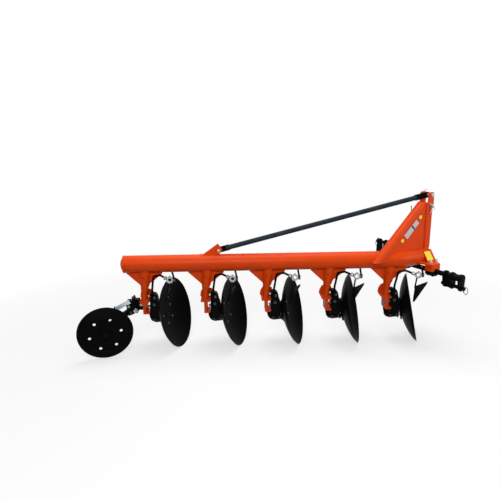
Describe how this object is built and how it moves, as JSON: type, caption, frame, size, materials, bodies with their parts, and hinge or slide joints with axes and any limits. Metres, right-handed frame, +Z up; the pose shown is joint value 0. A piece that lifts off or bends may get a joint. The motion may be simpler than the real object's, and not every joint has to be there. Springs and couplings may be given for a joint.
{
  "type": "disc plough",
  "caption": "Mounted disc plough: a diagonal tube beam with tilted concave discs on hubs, scrapers, a rear furrow wheel, and a three-point headstock with a cross shaft.",
  "frame": {"origin": "centre of the whole plough's bounding box in plan, at floor level", "axes": "+X is the direction of travel, +Y is left seen from behind, +Z is up"},
  "size_m": [3.3806, 1.8879, 1.512],
  "materials": {
    "beam_cap_front": "glossy orange paint",
    "beam_cap_rear": "glossy orange paint",
    "beam_tube": "glossy orange paint",
    "brace_lug": "glossy orange paint",
    "brace_pin": "bright zinc plate",
    "brace_rod": "dark blue-grey paint",
    "brace_sleeve": "bright zinc plate",
    "cross_shaft": "satin black paint",
    "disc_1": "satin black paint",
    "disc_2": "satin black paint",
    "disc_3": "satin black paint",
    "disc_4": "satin black paint",
    "disc_5": "satin black paint",
    "furrow_wheel": "satin black paint",
    "hitch_clevis_left": "satin black paint",
    "hitch_clevis_right": "satin black paint",
    "hitch_pin_left": "bright zinc plate",
    "hitch_pin_right": "bright zinc plate",
    "hub_1": "satin black paint",
    "hub_2": "satin black paint",
    "hub_3": "satin black paint",
    "hub_4": "satin black paint",
    "hub_5": "satin black paint",
    "hub_bracket_1": "satin black paint",
    "hub_bracket_2": "satin black paint",
    "hub_bracket_3": "satin black paint",
    "hub_bracket_4": "satin black paint",
    "hub_bracket_5": "satin black paint",
    "leg_1": "glossy orange paint",
    "leg_2": "glossy orange paint",
    "leg_3": "glossy orange paint",
    "leg_4": "glossy orange paint",
    "leg_5": "glossy orange paint",
    "mast_ear_left": "glossy orange paint",
    "mast_ear_right": "glossy orange paint",
    "mast_shell": "glossy orange paint",
    "scraper_arm_1": "satin black paint",
    "scraper_arm_2": "satin black paint",
    "scraper_arm_3": "satin black paint",
    "scraper_arm_4": "satin black paint",
    "scraper_arm_5": "satin black paint",
    "scraper_blade_1": "satin black paint",
    "scraper_blade_2": "satin black paint",
    "scraper_blade_3": "satin black paint",
    "scraper_blade_4": "satin black paint",
    "scraper_blade_5": "satin black paint",
    "shaft_bracket_left": "glossy orange paint",
    "shaft_bracket_right": "glossy orange paint",
    "shaft_clamp_left": "satin black paint",
    "shaft_clamp_right": "satin black paint",
    "top_link_pin": "bright zinc plate",
    "wheel_arm": "satin black paint",
    "wheel_crank": "satin black paint",
    "wheel_hub": "satin black paint",
    "wheel_strut": "bright zinc plate",
    "wheel_swivel_plate": "satin black paint"
  },
  "bodies": {
    "plough_frame": {"beam_cap_front": "beam_cap_front", "beam_cap_rear": "beam_cap_rear", "beam_tube": "beam_tube", "brace_lug": "brace_lug", "brace_pin": "brace_pin", "brace_rod": "brace_rod", "brace_sleeve": "brace_sleeve", "hub_bracket_1": "hub_bracket_1", "hub_bracket_2": "hub_bracket_2", "hub_bracket_3": "hub_bracket_3", "hub_bracket_4": "hub_bracket_4", "hub_bracket_5": "hub_bracket_5", "leg_1": "leg_1", "leg_2": "leg_2", "leg_3": "leg_3", "leg_4": "leg_4", "leg_5": "leg_5", "mast_ear_left": "mast_ear_left", "mast_ear_right": "mast_ear_right", "mast_shell": "mast_shell", "scraper_arm_1": "scraper_arm_1", "scraper_arm_2": "scraper_arm_2", "scraper_arm_3": "scraper_arm_3", "scraper_arm_4": "scraper_arm_4", "scraper_arm_5": "scraper_arm_5", "scraper_blade_1": "scraper_blade_1", "scraper_blade_2": "scraper_blade_2", "scraper_blade_3": "scraper_blade_3", "scraper_blade_4": "scraper_blade_4", "scraper_blade_5": "scraper_blade_5", "shaft_bracket_left": "shaft_bracket_left", "shaft_bracket_right": "shaft_bracket_right", "shaft_clamp_left": "shaft_clamp_left", "shaft_clamp_right": "shaft_clamp_right", "top_link_pin": "top_link_pin", "wheel_arm": "wheel_arm", "wheel_crank": "wheel_crank", "wheel_strut": "wheel_strut", "wheel_swivel_plate": "wheel_swivel_plate"},
    "disc_unit_1": {"disc_1": "disc_1", "hub_1": "hub_1"},
    "disc_unit_2": {"disc_2": "disc_2", "hub_2": "hub_2"},
    "disc_unit_3": {"disc_3": "disc_3", "hub_3": "hub_3"},
    "disc_unit_4": {"disc_4": "disc_4", "hub_4": "hub_4"},
    "disc_unit_5": {"disc_5": "disc_5", "hub_5": "hub_5"},
    "furrow_wheel_unit": {"furrow_wheel": "furrow_wheel", "wheel_hub": "wheel_hub"},
    "linkage_shaft": {"cross_shaft": "cross_shaft", "hitch_clevis_left": "hitch_clevis_left", "hitch_clevis_right": "hitch_clevis_right", "hitch_pin_left": "hitch_pin_left", "hitch_pin_right": "hitch_pin_right"}
  },
  "joints": [
    {"name": "disc_spin_1", "type": "hinge", "parent": "plough_frame", "child": "disc_unit_1", "pos_m": [-0.70939, 0.68004, 0.34542], "axis": [0.7246, -0.6617, 0.1925], "continuous": true},
    {"name": "disc_spin_2", "type": "hinge", "parent": "plough_frame", "child": "disc_unit_2", "pos_m": [-0.17011, 0.41702, 0.34542], "axis": [0.7246, -0.6617, 0.1925], "continuous": true},
    {"name": "disc_spin_3", "type": "hinge", "parent": "plough_frame", "child": "disc_unit_3", "pos_m": [0.36917, 0.154, 0.34542], "axis": [0.7246, -0.6617, 0.1925], "continuous": true},
    {"name": "disc_spin_4", "type": "hinge", "parent": "plough_frame", "child": "disc_unit_4", "pos_m": [0.90844, -0.10902, 0.34542], "axis": [0.7246, -0.6617, 0.1925], "continuous": true},
    {"name": "disc_spin_5", "type": "hinge", "parent": "plough_frame", "child": "disc_unit_5", "pos_m": [1.44772, -0.37205, 0.34542], "axis": [0.7246, -0.6617, 0.1925], "continuous": true},
    {"name": "furrow_wheel_spin", "type": "hinge", "parent": "plough_frame", "child": "furrow_wheel_unit", "pos_m": [-1.43157, 0.66846, 0.26155], "axis": [-0.173, -0.9809, -0.0889], "continuous": true},
    {"name": "linkage_shaft_turn", "type": "hinge", "parent": "plough_frame", "child": "linkage_shaft", "pos_m": [1.51128, 0, 0.76199], "axis": [0, 1, 0], "range_deg": [-15, 15]}
  ]
}
